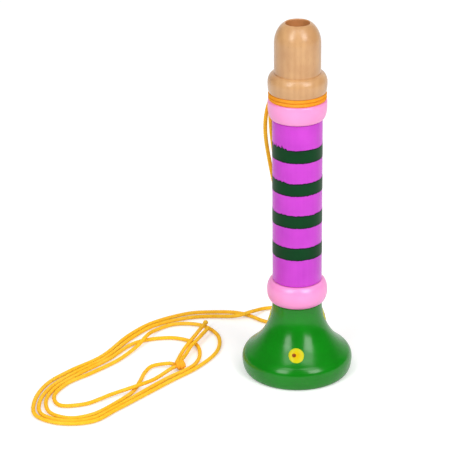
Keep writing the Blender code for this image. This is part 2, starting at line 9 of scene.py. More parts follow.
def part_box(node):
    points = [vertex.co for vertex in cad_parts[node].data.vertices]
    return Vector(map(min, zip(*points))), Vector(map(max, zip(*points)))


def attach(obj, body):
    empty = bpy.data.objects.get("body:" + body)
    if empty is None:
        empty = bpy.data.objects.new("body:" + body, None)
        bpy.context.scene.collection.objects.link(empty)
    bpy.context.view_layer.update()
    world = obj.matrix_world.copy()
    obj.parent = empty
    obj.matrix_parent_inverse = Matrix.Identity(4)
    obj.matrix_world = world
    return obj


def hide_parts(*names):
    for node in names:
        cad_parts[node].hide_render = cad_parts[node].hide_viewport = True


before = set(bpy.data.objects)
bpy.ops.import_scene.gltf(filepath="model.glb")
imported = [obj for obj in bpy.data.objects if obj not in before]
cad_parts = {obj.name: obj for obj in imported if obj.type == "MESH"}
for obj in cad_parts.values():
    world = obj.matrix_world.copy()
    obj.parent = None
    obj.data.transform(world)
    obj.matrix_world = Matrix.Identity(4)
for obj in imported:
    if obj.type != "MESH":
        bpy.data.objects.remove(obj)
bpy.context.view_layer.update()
scene = bpy.context.scene
mm = 0.001                  # sizes below are in millimetres, angles in degrees
print("frame loaded:", len(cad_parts), "nodes")


# camera, as the photograph was taken: a long lens from in front and above
camera = {
    "place": (0.0, -1000.0, 511.0),
    "down": 23.23,
    "left": 2.12,
    "roll": -0.72,
    "lens": 169.84,
    "sensor": 36.0,
    "clip": (10.0, 20000.0),
}


def addCamera(c):
    down, left, roll = (math.radians(c[key]) for key in ("down", "left", "roll"))
    level = math.cos(down)
    ahead = Vector((-math.sin(left) * level, math.cos(left) * level, -math.sin(down)))
    across = Vector((math.cos(left), math.sin(left), 0))
    above = across.cross(ahead)
    side = across * math.cos(roll) + above * math.sin(roll)
    top = above * math.cos(roll) - across * math.sin(roll)
    data = bpy.data.cameras.new("photoCamera")
    data.lens, data.sensor_width = c["lens"], c["sensor"]
    data.clip_start, data.clip_end = (distance * mm for distance in c["clip"])
    cam = bpy.data.objects.new("photoCamera", data)
    turn = Matrix((side, top, -ahead)).transposed().to_4x4()
    cam.matrix_world = Matrix.Translation(Vector(c["place"]) * mm) @ turn
    scene.collection.objects.link(cam)
    scene.camera = cam


addCamera(camera)
print("camera set")


# tools that the pieces and finishes share

def fill(tree, node, inputs):
    for key, value in inputs.items():
        if isinstance(key, int):
            socket = node.inputs[key]
        else:
            socket = next(s for s in node.inputs if s.enabled and s.name == key)
        if isinstance(value, bpy.types.NodeSocket):
            tree.links.new(value, socket)
        else:
            socket.default_value = value


def addNode(tree, kind, inputs=None, output=None, **settings):
    node = tree.nodes.new(kind)
    for key, value in settings.items():
        setattr(node, key, value)
    fill(tree, node, inputs or {})
    return node.outputs[output] if output else next((s for s in node.outputs if s.enabled), None)


def linear(hexCode):
    parts = [int(hexCode[i:i + 2], 16) / 255 for i in (1, 3, 5)]
    return [p / 12.92 if p <= 0.04045 else ((p + 0.055) / 1.055) ** 2.4 for p in parts] + [1.0]


def perSize(size):
    return 1 / (size * mm)  # texture scale of a pattern of that size


def startMaterial(name):
    material = bpy.data.materials.new(name)
    material.use_nodes = True
    tree = material.node_tree
    place = addNode(tree, "ShaderNodeTexCoord", output="Object")
    return material, tree, tree.nodes["Principled BSDF"], place


def startTree(name, inputs):
    tree = bpy.data.node_groups.new(name, "GeometryNodeTree")
    tree.interface.new_socket("Geometry", in_out="INPUT", socket_type="NodeSocketGeometry")
    for label, kind in inputs.items():
        tree.interface.new_socket(label, in_out="INPUT", socket_type="NodeSocket" + kind)
    tree.interface.new_socket("Geometry", in_out="OUTPUT", socket_type="NodeSocketGeometry")
    return tree, tree.nodes.new("NodeGroupInput").outputs


def endTree(tree, geometry, material):
    whole = addNode(tree, "GeometryNodeRealizeInstances", {"Geometry": geometry})
    finished = addNode(tree, "GeometryNodeSetMaterial", {"Geometry": whole, "Material": material})
    addNode(tree, "NodeGroupOutput", {"Geometry": finished})
    return tree


def runTree(tree, chains, values, closed=False):
    # chains of points become edges, the tree turns them into a plain mesh
    guide = bpy.data.meshes.new(tree.name)
    points, edges = [], []
    for chain in chains:
        first, last = len(points), len(points) + len(chain) - 1
        edges += [(i, i + 1) for i in range(first, last)]
        edges += [(last, first)] if closed else []
        points += [tuple(p) for p in chain]
    guide.from_pydata(points, edges, [])
    holder = bpy.data.objects.new(tree.name, guide)
    scene.collection.objects.link(holder)
    modifier = holder.modifiers.new(tree.name, "NODES")
    modifier.node_group = tree
    for item in tree.interface.items_tree:
        if item.in_out == "INPUT" and item.name in values:
            modifier[item.identifier] = values[item.name]
    depsgraph = bpy.context.evaluated_depsgraph_get()
    mesh = bpy.data.meshes.new_from_object(holder.evaluated_get(depsgraph), depsgraph=depsgraph)
    for i in reversed([i for i, slot in enumerate(mesh.materials) if slot is None]):
        mesh.materials.pop(index=i)     # an instance brings an empty slot along
    holder.modifiers.clear()
    bpy.data.objects.remove(holder)
    bpy.data.meshes.remove(guide)
    return mesh


def addPiece(name, mesh, body, nodes=()):
    mesh.name = name
    piece = bpy.data.objects.new(name, mesh)
    scene.collection.objects.link(piece)
    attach(piece, body)
    if nodes:
        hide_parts(*nodes)
    return piece


def span(node):
    low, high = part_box(node)
    return low / mm, high / mm


# braided cotton cord: dull and soft, every yarn a shade off its neighbour, with painted shade in the sunken
# gaps between the yarns, and a deeper orange painted shade in the knot and round the neck under the bead
def braidedCotton():
    look = {"colour": "#FFC82C", "deep": "#FFBC26", "pale": "#FFD24E", "creviceShade": "#FFA81E",
            "tightShadeTint": "#F4CEDC", "patch": 14.0,
            "fibre": 0.22}      # about ten times as coarse as cotton fibres are, or they wouldn't show
    material, tree, shader, place = startMaterial("braidedCotton")
    yarn, gap, tightShade = (
        addNode(tree, "ShaderNodeAttribute", output="Fac", attribute_name=name)
        for name in ("yarnTone", "yarnGap", "tightShade"))
    fibre, patch = (
        addNode(tree, "ShaderNodeTexNoise", {"Vector": place, "Scale": perSize(size), "Detail": detail})
        for size, detail in ((look["fibre"], 3.0), (look["patch"], 1.0)))
    worn = addNode(tree, "ShaderNodeMapRange", {
        "Value": patch, "From Min": 0.4, "From Max": 0.75, "To Max": 0.5})
    # painted shade: the sunken gaps between the yarns are darkened
    creviceShading = addNode(tree, "ShaderNodeMapRange", {"Value": gap, "From Min": 0.35, "To Max": 0.8})
    tone = linear(look["colour"])
    for share, shade in ((yarn, "deep"), (worn, "pale"), (creviceShading, "creviceShade")):
        mix = {"Factor": share, "A": tone, "B": linear(look[shade])}
        tone = addNode(tree, "ShaderNodeMix", mix, data_type="RGBA")
    # painted shade: the cord in the knot and round the neck, under the bead, is darkened to a deeper orange
    tint = {"Factor": tightShade, "A": tone, "B": linear(look["tightShadeTint"])}
    tone = addNode(tree, "ShaderNodeMix", tint, data_type="RGBA", blend_type="MULTIPLY")
    bump = addNode(tree, "ShaderNodeBump", {"Height": fibre, "Strength": 0.35, "Distance": 0.05 * mm})
    fill(tree, shader, {
        "Base Color": tone, "Normal": bump, "Roughness": 0.8, "Specular IOR Level": 0.2,
        "Sheen Weight": 0.5, "Sheen Roughness": 0.5, "Sheen Tint": linear(look["colour"])})
    return material


# cord: its route repeats the solids' own points, the yarns plait round it
cord = {
    "diameter": 1.9,
    "turnGap": 0.0,         # between the two turns, drawn tight round the neck
    "snug": 0.02,           # between the turns and the wood
    "clearance": 0.3,       # between a strand's end and what it comes out of
    "lie": 1.2,             # height of its middle on the floor
    "yarns": 4,             # that wind each way
    "crown": 0.1,           # a yarn's top stands this far proud of the cord's mean radius
    "relief": 0.17,         # from the top of a yarn down to the crossings
    "tuck": 0.45,           # share of its height that a yarn has lost where it goes under
    "plait": 5.4,           # length of one full turn of a yarn
    "step": 0.24,           # between the rings of points along the cord
    "sides": 24,
    "fray": 2.5,            # a cut end opens over this length
    "frayed": {"leftTail": 0.35, "rightTail": 0.25},        # by this share of the cord's radius
    "shadeFade": 40.0,         # the painted shade of the neck fades out over this length below it
    "allAlong": 4000.0,     # stands for a painted shade that doesn't fade at all
    "spanPoints": 24,       # of the curve between two points of a route
    "closePoints": 4,       # and in the hitch and the knot, where the points are close already
}
hitch = {
    "angle": 90.0,          # at the back of the neck
    "bight": 3.5,           # bend of the loop that holds both strands
    "rise": 3.0,            # how far that loop lies outside the turns
    "climbStart": 20.0,
    "climbRun": 10.0,
    "spreadStart": 14.5,
    "spreadRun": 9.0,
    "turnPoints": 60,
    "bightSteps": 12,
}
knot = {
    "centre": (-62.2, -3.9),
    "size": (7.0, 5.2, 5.2),
    "outerAngle": 158.0,    # where the strands come in, seen from above
    "innerAngle": 226.0,
    "axisAngle": 12.0,
    "wrapRadius": 1.68,
    "wrapPitch": 3.0,
    "wrapStart": 2.7,       # along the knot's axis
    "wrapPoints": 14,       # per quarter turn
    "outerQuarters": 5,     # quarter turns of each strand round the core
    "innerQuarters": 3,
    "entry": 1.2,           # straight into the knot's side
    "core": [(-0.4, 0.5, 0.0), (1.5, -0.4, -0.5)],      # on through it: along its axis, aside and up
    "shadeDepth": 0.55,          # painted shade about half as deep as round the neck
}
outerRoute = [
    (-7.6, 15.5, 153.6), (-10.8, 18.1, 149.8), (-13.1, 19.4, 144.6), (-15.1, 19.8, 138.9),
    (-16.2, 20.2, 132.8), (-16.5, 20.8, 127.4), (-16.1, 21.9, 119.6), (-13.8, 24.2, 104),
    (-10.2, 28.4, 83), (-5.6, 36.6, 51.5), (-1.6, 48.5, 22), (-0.6, 58, 7.8), (-3.4, 66.6, 1.8),
    (-10, 70.4, 1.2), (-17.5, 69, 1.4), (-25.8, 59.4, 3.7), (-33.4, 58, 2), (-48, 58.9, 1.2),
    (-60, 56.9, 1.2), (-78.5, 46.6, 1.2), (-89.3, 32.2, 1.2), (-102.4, 7, 1.2), (-117.1, -10.3, 1.2),
    (-126.6, -24.6, 1.2), (-131.2, -40.6, 1.2), (-129, -55.4, 1.2), (-117.4, -62.2, 1.2),
    (-103.8, -60.2, 1.2), (-92.8, -48.2, 1.2), (-68, -16.3, 1.2), (-54.3, -0.3, 1.2), (-51.8, 13, 1.2),
    (-55.2, 25.4, 1.2), (-66, 31.6, 1.2), (-79, 30, 1.2), (-88.4, 24.4, 1.2), (-100.4, 5.5, 1.2),
    (-114.1, -11.1, 1.2), (-124.5, -26.2, 1.2), (-128.2, -40.9, 1.2), (-124.4, -54.4, 1.2),
    (-114, -59.6, 1.2), (-103.1, -55.6, 1.2), (-92.1, -43, 1.2), (-84.5, -30.9, 1.2),
    (-81.4, -18.5, 1.2), (-79.6, -9, 1.2), (-76.2, -2.6, 1.6),
]
innerRoute = [
    (-7.5, 14.05, 151.55), (-10.8, 15, 150.3), (-13.1, 16.3, 146), (-13.8, 16.8, 137.5),
    (-13.4, 17.6, 127), (-12.2, 19.4, 115), (-10, 22.5, 98), (-7.4, 27, 73), (-5.2, 34, 42),
    (-4, 41.5, 13.5), (-5.6, 45.6, 4),
    (-10, 49.6, 1.3), (-18.5, 53.2, 1.2), (-25.8, 59.5, 1.2), (-34, 63.8, 1.2), (-49, 64.3, 1.2),
    (-60, 62.5, 1.2), (-79.5, 50.2, 1.2), (-91.1, 35, 1.2), (-104.2, 8.8, 1.2), (-119.7, -8.3, 1.2),
    (-129.6, -22.6, 1.2), (-134, -41, 1.2), (-131.6, -57, 1.2), (-119, -64.9, 1.2),
    (-102.7, -63.1, 1.2), (-90.5, -49.2, 1.2), (-65.5, -18.6, 1.2), (-52.2, -2.7, 1.2),
    (-42.6, 16.5, 1.2), (-43.2, 35.6, 1.2), (-53, 47.8, 1.2), (-67, 48.8, 1.2), (-77, 40.7, 1.5),
    (-81.3, 28.7, 3.8), (-85.2, 21.2, 2.1), (-95, 4.8, 1.2), (-107.8, -10.1, 1.2), (-119.1, -21.8, 1.2),
    (-124.6, -36.1, 1.2), (-120.6, -46, 1.2), (-108, -44.6, 1.2), (-94.9, -35.3, 2), (-82.5, -29.6, 3.9),
    (-74.3, -20.5, 2.9),
]
leftTailRoute = [
    (-61.7, 8, 3), (-59.8, 14.8, 3.6), (-57.6, 21.2, 4), (-54.3, 32.3, 3.7), (-51.1, 41.8, 4),
    (-49.9, 45.6, 3.9),
]
rightTailRoute = [
    (-58.9, 8.7, 3.1), (-56.8, 16, 3.9), (-54.6, 21.7, 4), (-51.1, 31.5, 3.7), (-49.1, 36.5, 3.9),
    (-48.3, 38.7, 3.9),
]

tubeRadius = span("body_tube")[1].x
collarTop = span("upper_collar")[1].z
cordRadius = cord["diameter"] / 2
turnPitch = cord["diameter"] + cord["turnGap"]
turnRadius = tubeRadius + cord["snug"] + cordRadius
grooveHeight = turnPitch + cord["diameter"] + 2 * cord["snug"]
grooveMiddle = collarTop + grooveHeight / 2
knotMiddle = np.array((*knot["centre"], cord["lie"] - cordRadius + knot["size"][2] / 2))


def between(t, start, end, a, b):
    return ((end - t) * a + (t - start) * b) / (end - start)


def smoothRoute(points, perSpan=cord["spanPoints"]):
    # centripetal curve through every point
    points = [np.array(p, dtype=float) for p in points]
    points = [2 * points[0] - points[1]] + points + [2 * points[-1] - points[-2]]
    samples = []
    for four in zip(points, points[1:], points[2:], points[3:]):
        strides = [math.sqrt(np.linalg.norm(b - a)) for a, b in zip(four, four[1:])]
        times = np.cumsum([0.0] + strides)
        for t in np.linspace(times[1], times[2], perSpan, endpoint=False):
            a = [between(t, times[i], times[i + 1], four[i], four[i + 1]) for i in range(3)]
            b = [between(t, times[i], times[i + 2], a[i], a[i + 1]) for i in range(2)]
            samples.append(between(t, times[1], times[2], *b))
    return np.array(samples + [points[-2]])


def ease(value):
    value = min(1.0, max(0.0, value))
    return value * value * (3 - 2 * value)


def roundNeck(arcLength, radius, height):
    angle = math.radians(hitch["angle"]) + arcLength / turnRadius
    return (radius * math.cos(angle), radius * math.sin(angle), height)


def standing(distance, side):
    # the straight line along which a strand leaves the groove
    x, y, z = roundNeck(0, turnRadius, grooveMiddle + side * turnPitch / 2)
    angle = math.radians(hitch["angle"])
    return (x - math.sin(angle) * distance, y + math.cos(angle) * distance, z)


def hitchTurn(side):
    # from the strand back round the neck, then out of the groove and wide of the strands
    roundLength = 2 * math.pi * turnRadius
    level = turnPitch / 2
    points = [standing(cord["diameter"], side), standing(cord["diameter"] / 2, side)]
    for distance in np.linspace(0, roundLength, hitch["turnPoints"] + 1):
        left = roundLength - distance
        climb = ease((hitch["climbStart"] - left) / hitch["climbRun"])
        spread = ease((hitch["spreadStart"] - left) / hitch["spreadRun"])
        height = level + (hitch["bight"] - level) * spread
        radius = turnRadius + hitch["rise"] * climb
        points.append(roundNeck(-distance, radius, grooveMiddle + side * height))
    return points


def hitchPath():
    steps = hitch["bightSteps"]
    bend = [math.pi * i / steps for i in range(1, steps)]
    radius, reach = turnRadius + hitch["rise"], hitch["bight"]
    bight = [roundNeck(-reach * math.sin(a), radius, grooveMiddle + reach * math.cos(a)) for a in bend]
    return smoothRoute(hitchTurn(1) + bight + hitchTurn(-1)[::-1], cord["closePoints"])


def knotSide(angle, distance):
    # straight out from the knot's side
    heading = np.array((math.cos(math.radians(angle)), math.sin(math.radians(angle)), 0.0))
    reach = 1 / math.hypot(heading[0] / (knot["size"][0] / 2), heading[1] / (knot["size"][1] / 2))
    return knotMiddle + heading * (reach + distance)


def strandPath(side, route, knotAngle):
    points = [standing(cord["diameter"] + cord["clearance"], side), standing(2 * cord["diameter"], side)]
    points += route + [knotSide(knotAngle, cord["diameter"]), knotSide(knotAngle, cord["clearance"])]
    samples = smoothRoute(points)
    samples[:, 2] = np.maximum(samples[:, 2], cord["lie"])
    return samples


def inKnot(along, across, up):
    angle = math.radians(knot["axisAngle"])
    axis = np.array((math.cos(angle), math.sin(angle), 0))
    aside = np.array((-math.sin(angle), math.cos(angle), 0))
    return knotMiddle + along * axis + across * aside + np.array((0, 0, up))


def knotPath(entryAngle, side, quarters):
    # in along the knot's core, then wrapped back over it, and out on top
    start = 90 + 90 * quarters
    steps = quarters * knot["wrapPoints"]
    radius = knot["wrapRadius"]
    points = [knotSide(entryAngle, cord["clearance"]), knotSide(entryAngle, -knot["entry"])]
    points += [inKnot(along, across * side, up * side) for along, across, up in knot["core"]]
    for i in range(steps + 1):
        angle = math.radians(start - 90 * i / knot["wrapPoints"])
        along = knot["wrapStart"] - knot["wrapPitch"] * i / (4 * knot["wrapPoints"])
        points.append(inKnot(along, radius * math.cos(angle), radius * math.sin(angle)))
    return smoothRoute(points, cord["closePoints"])


def braidTree(material):
    # the Drawn inputs set how deep the painted shade of a tight cord is, and over what length it fades
    tree, given = startTree("braidedCord", {
        "Cord radius": "Float", "Yarns": "Int", "Relief": "Float", "Plait": "Float", "Step": "Float",
        "Sides": "Int", "Fray": "Float", "Fray length": "Float", "Drawn": "Float", "Drawn length": "Float"})
    curve = addNode(tree, "GeometryNodeMeshToCurve", {"Mesh": given["Geometry"]})
    curve = addNode(
        tree, "GeometryNodeResampleCurve", {"Curve": curve, "Length": given["Step"]}, mode="LENGTH")
    section = addNode(tree, "GeometryNodeCurvePrimitiveCircle", {
        "Resolution": given["Sides"], "Radius": given["Cord radius"]})
    distance = addNode(tree, "GeometryNodeSplineParameter", output="Length")
    share = addNode(tree, "GeometryNodeSplineParameter", output="Factor")
    whole = addNode(tree, "GeometryNodeSplineLength", output="Length")
    remaining = addNode(tree, "ShaderNodeMath", {0: whole, 1: distance}, operation="SUBTRACT")
    for name, value in (("along", distance), ("toEnd", remaining)):
        curve = addNode(
            tree, "GeometryNodeStoreNamedAttribute", {"Geometry": curve, "Name": name, "Value": value})
    section = addNode(
        tree, "GeometryNodeStoreNamedAttribute", {"Geometry": section, "Name": "around", "Value": share})
    tube = addNode(tree, "GeometryNodeCurveToMesh", {
        "Curve": curve, "Profile Curve": section, "Fill Caps": True})
    wires = {label: given[label] for label in ("Cord radius", "Yarns", "Relief", "Plait")}
    for name in ("along", "around", "toEnd"):
        wires[name] = addNode(tree, "GeometryNodeInputNamedAttribute", {"Name": name})
    # a cut end opens like a brush, and the painted shade of a tight strand fades out along it
    for name, measure, label in (("opening", "toEnd", "Fray"), ("tightShade", "along", "Drawn")):
        wires[name] = addNode(tree, "ShaderNodeMapRange", {
            "Value": wires[measure], "From Max": given[label + " length"], "To Min": given[label],
            "To Max": 0.0}, interpolation_type="SMOOTHSTEP")

    # yarns wind both ways and take turns on top, so each lozenge shows a stretch of one of them
    recipe = [("turns", "DIVIDE", "along", "Plait")]
    for way, winding in (("right", "SUBTRACT"), ("left", "ADD")):
        recipe += [
            (way + "Turn", winding, "around", "turns"),
            (way + "Lane", "MULTIPLY", way + "Turn", "Yarns"),
            (way + "Cell", "FLOOR", way + "Lane"),
            (way + "Number", "FLOORED_MODULO", way + "Cell", "Yarns"),
            (way + "Part", "FRACT", way + "Lane"),
            (way + "Side", "SUBTRACT", way + "Part", 0.5),
            (way + "Far", "ABSOLUTE", way + "Side"),
            (way + "Edge", "MULTIPLY", way + "Far", 2),
            (way + "Square", "POWER", way + "Edge", 2),
            (way + "Dip", "SUBTRACT", 1, way + "Square"),
            (way + "Crown", "SQRT", way + "Dip"),
            (way + "Cube", "POWER", way + "Edge", 3),
            (way + "Fall", "MULTIPLY", way + "Cube", cord["tuck"]),
            (way + "Stay", "SUBTRACT", 1, way + "Fall"),
        ]
    recipe += [
        ("bothCells", "ADD", "rightCell", "leftCell"),
        ("leftOnTop", "FLOORED_MODULO", "bothCells", 2),
        ("rightOnTop", "SUBTRACT", 1, "leftOnTop"),
        ("rightTop", "MULTIPLY", "rightCrown", "leftStay"),
        ("leftTop", "MULTIPLY", "leftCrown", "rightStay"),
        ("rightHeight", "MULTIPLY", "rightTop", "rightOnTop"),
        ("leftHeight", "MULTIPLY", "leftTop", "leftOnTop"),
        ("height", "ADD", "rightHeight", "leftHeight"),
        ("yarnGap", "SUBTRACT", 1, "height"),
        ("leftCount", "ADD", "leftNumber", "Yarns"),
        ("rightShown", "MULTIPLY", "rightNumber", "rightOnTop"),
        ("leftShown", "MULTIPLY", "leftCount", "leftOnTop"),
        ("yarnNumber", "ADD", "rightShown", "leftShown"),
        ("swelling", "MULTIPLY", "opening", "Cord radius"),
        ("sinking", "MULTIPLY", "yarnGap", "Relief"),
        ("shift", "SUBTRACT", "swelling", "sinking"),
    ]
    for name, operation, *terms in recipe:
        inputs = {i: wires.get(term, term) for i, term in enumerate(terms)}
        wires[name] = addNode(tree, "ShaderNodeMath", inputs, operation=operation)
    wires["yarnTone"] = addNode(tree, "FunctionNodeRandomValue", {"ID": wires["yarnNumber"], "Seed": 7})
    outward = addNode(tree, "GeometryNodeInputNormal")
    offset = addNode(
        tree, "ShaderNodeVectorMath", {"Vector": outward, "Scale": wires["shift"]}, operation="SCALE")
    for name in ("yarnTone", "yarnGap", "tightShade"):
        tube = addNode(tree, "GeometryNodeStoreNamedAttribute", {
            "Geometry": tube, "Name": name, "Value": wires[name]})
    tube = addNode(tree, "GeometryNodeSetPosition", {"Geometry": tube, "Offset": offset})
    smooth = addNode(tree, "GeometryNodeSetShadeSmooth", {"Geometry": tube})
    return endTree(tree, smooth, material)


cordBraid = braidTree(braidedCotton())


# a cord in the knot or round the neck gets a deeper orange painted shade, fading out along the strands
def braid(name, paths, nodes, fray=0.0, shadeDepth=0.0, shadeFade=cord["allAlong"]):
    values = {"Cord radius": (cordRadius + cord["crown"]) * mm, "Yarns": cord["yarns"],
              "Relief": cord["relief"] * mm, "Plait": cord["plait"] * mm, "Step": cord["step"] * mm,
              "Sides": cord["sides"], "Fray": fray, "Fray length": cord["fray"] * mm,
              "Drawn": shadeDepth, "Drawn length": shadeFade * mm}
    mesh = runTree(cordBraid, [path * mm for path in paths], values)
    return addPiece(name, mesh, "cord", nodes)


def declareCord(path):
    path = path * mm
    tuple(path[0])


def makeCord():
    outerWraps = knotPath(knot["outerAngle"], 1, knot["outerQuarters"])
    innerWraps = knotPath(knot["innerAngle"], -1, knot["innerQuarters"])
    endKnot = braid("endKnot", [outerWraps, innerWraps], ["cord_end_knot"], shadeDepth=knot["shadeDepth"])
    turns = hitchPath()
    neckHitch = braid("neckHitch", [turns], ["cord_neck_hitch"], shadeDepth=1.0)
    declareCord(turns)
    for name, node, side, route, angle in (
            ("outerStrand", "cord_strand_outer", 1, outerRoute, knot["outerAngle"]),
            ("innerStrand", "cord_strand_inner", -1, innerRoute, knot["innerAngle"])):
        path = strandPath(side, route, angle)
        shown = np.vstack([standing(cord["diameter"], side), path])     # back to the turn it comes from
        strand = braid(name, [shown], [node], shadeDepth=1.0, shadeFade=cord["shadeFade"])
        declareCord(path)
    for name, node, start, route in (
            ("leftTail", "cord_tail_left", outerWraps[-1], leftTailRoute),
            ("rightTail", "cord_tail_right", innerWraps[-1], rightTailRoute)):
        path = smoothRoute([start] + route)
        tail = braid(name, [path], [node], fray=cord["frayed"][name])
        declareCord(path)


makeCord()
print("cord plaited")


# beech, turned, sanded and waxed: warm soft grain with short dark flecks under a satin sheen
def waxedBeech():
    look = {"light": "#D5A36C", "colour": "#C69059", "deep": "#B57C46", "fleck": "#9C6636",
            "boredWoodAndShade": "#C6844C", "ring": 3.4, "stretch": 0.06, "fleckSize": (0.28, 2.4), "mottle": 11.0,
            "boreEdge": 6.05, "boreBlur": 0.25,
            "pore": 0.16}       # about twice as coarse as the pores of beech, or they wouldn't show
    material, tree, shader, place = startMaterial("waxedBeech")
    across, along = look["fleckSize"]
    stretched = addNode(tree, "ShaderNodeMapping", {"Vector": place, "Scale": (1, 1, look["stretch"])})
    fleckPlace = addNode(tree, "ShaderNodeMapping", {"Vector": place, "Scale": (1, 1, across / along)})
    ringScale = 2 * math.pi / 20 * perSize(look["ring"])        # a wave repeats every 2 pi / 20 units
    rings = addNode(tree, "ShaderNodeTexWave", {
        "Vector": stretched, "Scale": ringScale, "Distortion": 6.0, "Detail": 2.0, "Detail Scale": 0.6},
        output="Fac")
    mottle, flecks, pores = (
        addNode(tree, "ShaderNodeTexNoise", {"Vector": spot, "Scale": perSize(size), "Detail": detail})
        for spot, size, detail in (
            (place, look["mottle"], 2.0), (fleckPlace, across, 1.0), (stretched, look["pore"], 2.0)))
    flat = addNode(tree, "ShaderNodeVectorMath", {0: place, 1: (1, 1, 0)}, operation="MULTIPLY")
    fromAxis = addNode(tree, "ShaderNodeVectorMath", {0: flat}, operation="LENGTH")
    bore, blur = look["boreEdge"] * mm, look["boreBlur"] * mm
    # grain, clouds, flecks, and the drilled hole, painted darker: partly the bare drilled wood, partly
    # painted shade of the bore
    layers = (
        ("colour", rings, {"To Max": 0.4}),
        ("deep", mottle, {"From Min": 0.4, "From Max": 0.75, "To Max": 0.5}),
        ("fleck", flecks, {"From Min": 0.62, "From Max": 0.74, "To Max": 0.22}),
        ("boredWoodAndShade", fromAxis, {"From Min": bore + blur, "From Max": bore}),
    )
    tone = linear(look["light"])
    for shade, pattern, limits in layers:
        share = addNode(tree, "ShaderNodeMapRange", {"Value": pattern, **limits})
        mix = {"Factor": share, "A": tone, "B": linear(look[shade])}
        tone = addNode(tree, "ShaderNodeMix", mix, data_type="RGBA")
    bump = addNode(tree, "ShaderNodeBump", {"Height": pores, "Strength": 0.15, "Distance": 0.03 * mm})
    fill(tree, shader, {
        "Base Color": tone, "Normal": bump, "Roughness": 0.5, "IOR": 1.5, "Coat Weight": 1.0,
        "Coat Roughness": 0.26})
    return material


# spirit enamel, dipped and brushed: even strong colour, a wet gloss that ripples a little
def enamel(name, look):
    material, tree, shader, place = startMaterial(name)
    markPlace = addNode(tree, "ShaderNodeMapping", {"Vector": place, "Scale": look["markStretch"]})
    patterns = {}
    for pattern, spot, detail in (("mark", markPlace, 2.0), ("cloud", place, 1.0), ("ripple", place, 1.0)):
        patterns[pattern] = addNode(tree, "ShaderNodeTexNoise", {
            "Vector": spot, "Detail": detail, "Scale": perSize(look[pattern])})
    mixed = addNode(tree, "ShaderNodeMath", {
        0: patterns["mark"], 1: look["markShare"], 2: patterns["cloud"]}, operation="MULTIPLY_ADD")
    middle = 0.5 + 0.5 * look["markShare"]      # a noise is 0.5 on average
    thick = addNode(tree, "ShaderNodeMapRange", {
        "Value": mixed, "From Min": middle - look["spread"], "From Max": middle + look["spread"]})
    tone = addNode(tree, "ShaderNodeMix", {
        "Factor": thick, "A": linear(look["colour"]), "B": linear(look["deep"])}, data_type="RGBA")
    if "rim" in look:       # the paint piles up along its own edge
        reach = addNode(tree, "ShaderNodeAttribute", output="Fac", attribute_name="towardsEdge")
        reach = addNode(tree, "ShaderNodeMath", {0: reach}, operation="ABSOLUTE")
        piled = addNode(tree, "ShaderNodeMapRange", {"Value": reach, "From Min": look["rimFrom"]})
        mix = {"Factor": piled, "A": tone, "B": linear(look["rim"])}
        tone = addNode(tree, "ShaderNodeMix", mix, data_type="RGBA")
    height = addNode(tree, "ShaderNodeMath", {
        0: patterns["mark"], 1: look["markDepth"], 2: patterns["ripple"]}, operation="MULTIPLY_ADD")
    bump = addNode(tree, "ShaderNodeBump", {"Height": height, "Distance": look["rippleDepth"] * mm})
    fill(tree, shader, {
        "Base Color": tone, "Normal": bump, "Roughness": look["roughness"], "IOR": 1.5,
        "Specular IOR Level": look["gloss"]})
    return material


upright, lying = (1, 1, 0.05), (0.08, 0.08, 1)      # brush marks up the tube, tool marks round the bell
enamelBase = {"mark": 1.4, "markStretch": upright, "markShare": 0.3, "markDepth": 0.15, "cloud": 12.0,
              "spread": 0.2, "ripple": 4.0, "rippleDepth": 0.02, "roughness": 0.18, "gloss": 0.5}
enamels = {
    "pink": {"colour": "#FF9CDA", "deep": "#FE92D2", "markShare": 0.0, "markDepth": 0.0,
             "rippleDepth": 0.1, "roughness": 0.32, "gloss": 1.0},
    "purple": {"colour": "#D038D3", "deep": "#C430C9", "roughness": 0.26},
    "band": {"colour": "#00401A", "deep": "#003A17", "roughness": 0.38, "gloss": 0.14, "rim": "#120420",
             "rimFrom": 0.72},
    "green": {"colour": "#008406", "deep": "#007A04", "markStretch": lying, "mark": 1.0,
              "markDepth": 0.5, "roughness": 0.2, "gloss": 0.45},
    "yellow": {"colour": "#DEBE08", "deep": "#DCB406", "cloud": 3.0, "rim": "#CACC14", "rimFrom": 0.3,
               "gloss": 0.15},
    "brown": {"colour": "#9A4700", "deep": "#7A3200", "cloud": 1.2, "gloss": 0.15},
}
paint = {name: enamel(name + "Enamel", {**enamelBase, **look}) for name, look in enamels.items()}


# moulded polystyrene of the reed unit: milky, faintly uneven gloss
def mouldedPlastic(name, look):
    material, tree, shader, place = startMaterial(name)
    flow = addNode(tree, "ShaderNodeTexNoise", {"Vector": place, "Scale": perSize(look["flow"])})
    tone = addNode(tree, "ShaderNodeMix", {
        "Factor": flow, "A": linear(look["colour"]), "B": linear(look["deep"])}, data_type="RGBA")
    gloss = addNode(tree, "ShaderNodeMapRange", {
        "Value": flow, "To Min": look["gloss"][0], "To Max": look["gloss"][1]})
    bump = addNode(tree, "ShaderNodeBump", {"Height": flow, "Strength": 0.3, "Distance": 0.02 * mm})
    fill(tree, shader, {"Base Color": tone, "Roughness": gloss, "Normal": bump, "IOR": 1.55})
    return material


reedPlastic = mouldedPlastic("reedPolystyrene", {
    "colour": "#E6E1D2", "deep": "#D6CFBC", "flow": 2.5, "gloss": (0.3, 0.5)})
reedFilm = mouldedPlastic("reedFilm", {
    "colour": "#F3EEE0", "deep": "#E7E0CC", "flow": 1.5, "gloss": (0.2, 0.35)})
for nodeName in ("reed_holder", "reed_shallot", "reed_wedge", "reed_tongue"):
    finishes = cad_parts[nodeName].data.materials
    finishes.clear()
    finishes.append(reedFilm if nodeName == "reed_tongue" else reedPlastic)
print("finishes mixed")


